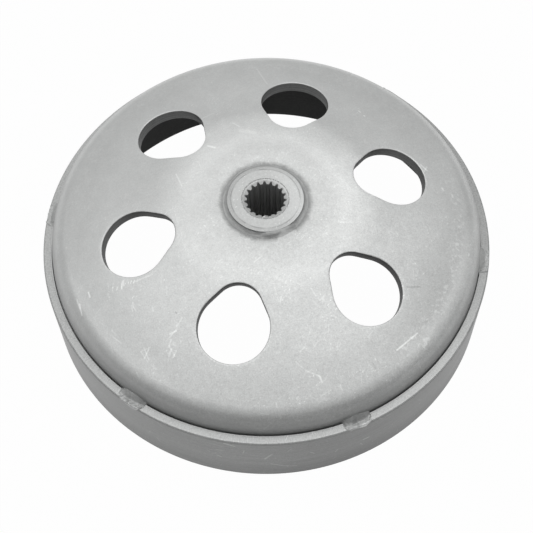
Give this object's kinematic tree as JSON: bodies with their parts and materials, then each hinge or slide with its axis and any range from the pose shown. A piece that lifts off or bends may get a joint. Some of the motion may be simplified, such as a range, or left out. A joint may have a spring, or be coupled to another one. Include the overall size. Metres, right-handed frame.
{
  "type": "clutch bell",
  "caption": "Steel clutch bell for a scooter belt drive: windowed cone-topped drum with a splined hub and a weight ring tack-welded round its rim.",
  "frame": {"origin": "on the axis of rotation, in the plane of the open rim", "axes": "+Z along the axis of rotation, towards the windowed face and the hub's nut seat; +X through the middle of a window"},
  "size_m": [0.135, 0.135, 0.045],
  "materials": {
    "pressed_steel": "satin, finely blasted, with pale scratches",
    "ring_steel": "turned, satin, with pale scratches",
    "hub_steel": "turned, satin",
    "weld_metal": "rough, rippled weld metal"
  },
  "bodies": {
    "root": {"bell_dish": "pressed_steel", "rim_ring": "ring_steel", "spline_hub": "hub_steel", "hub_weld": "weld_metal", "rim_weld_1": "weld_metal", "rim_weld_2": "weld_metal", "rim_weld_3": "weld_metal", "rim_weld_4": "weld_metal", "rim_weld_5": "weld_metal", "rim_weld_6": "weld_metal"}
  },
  "joints": []
}
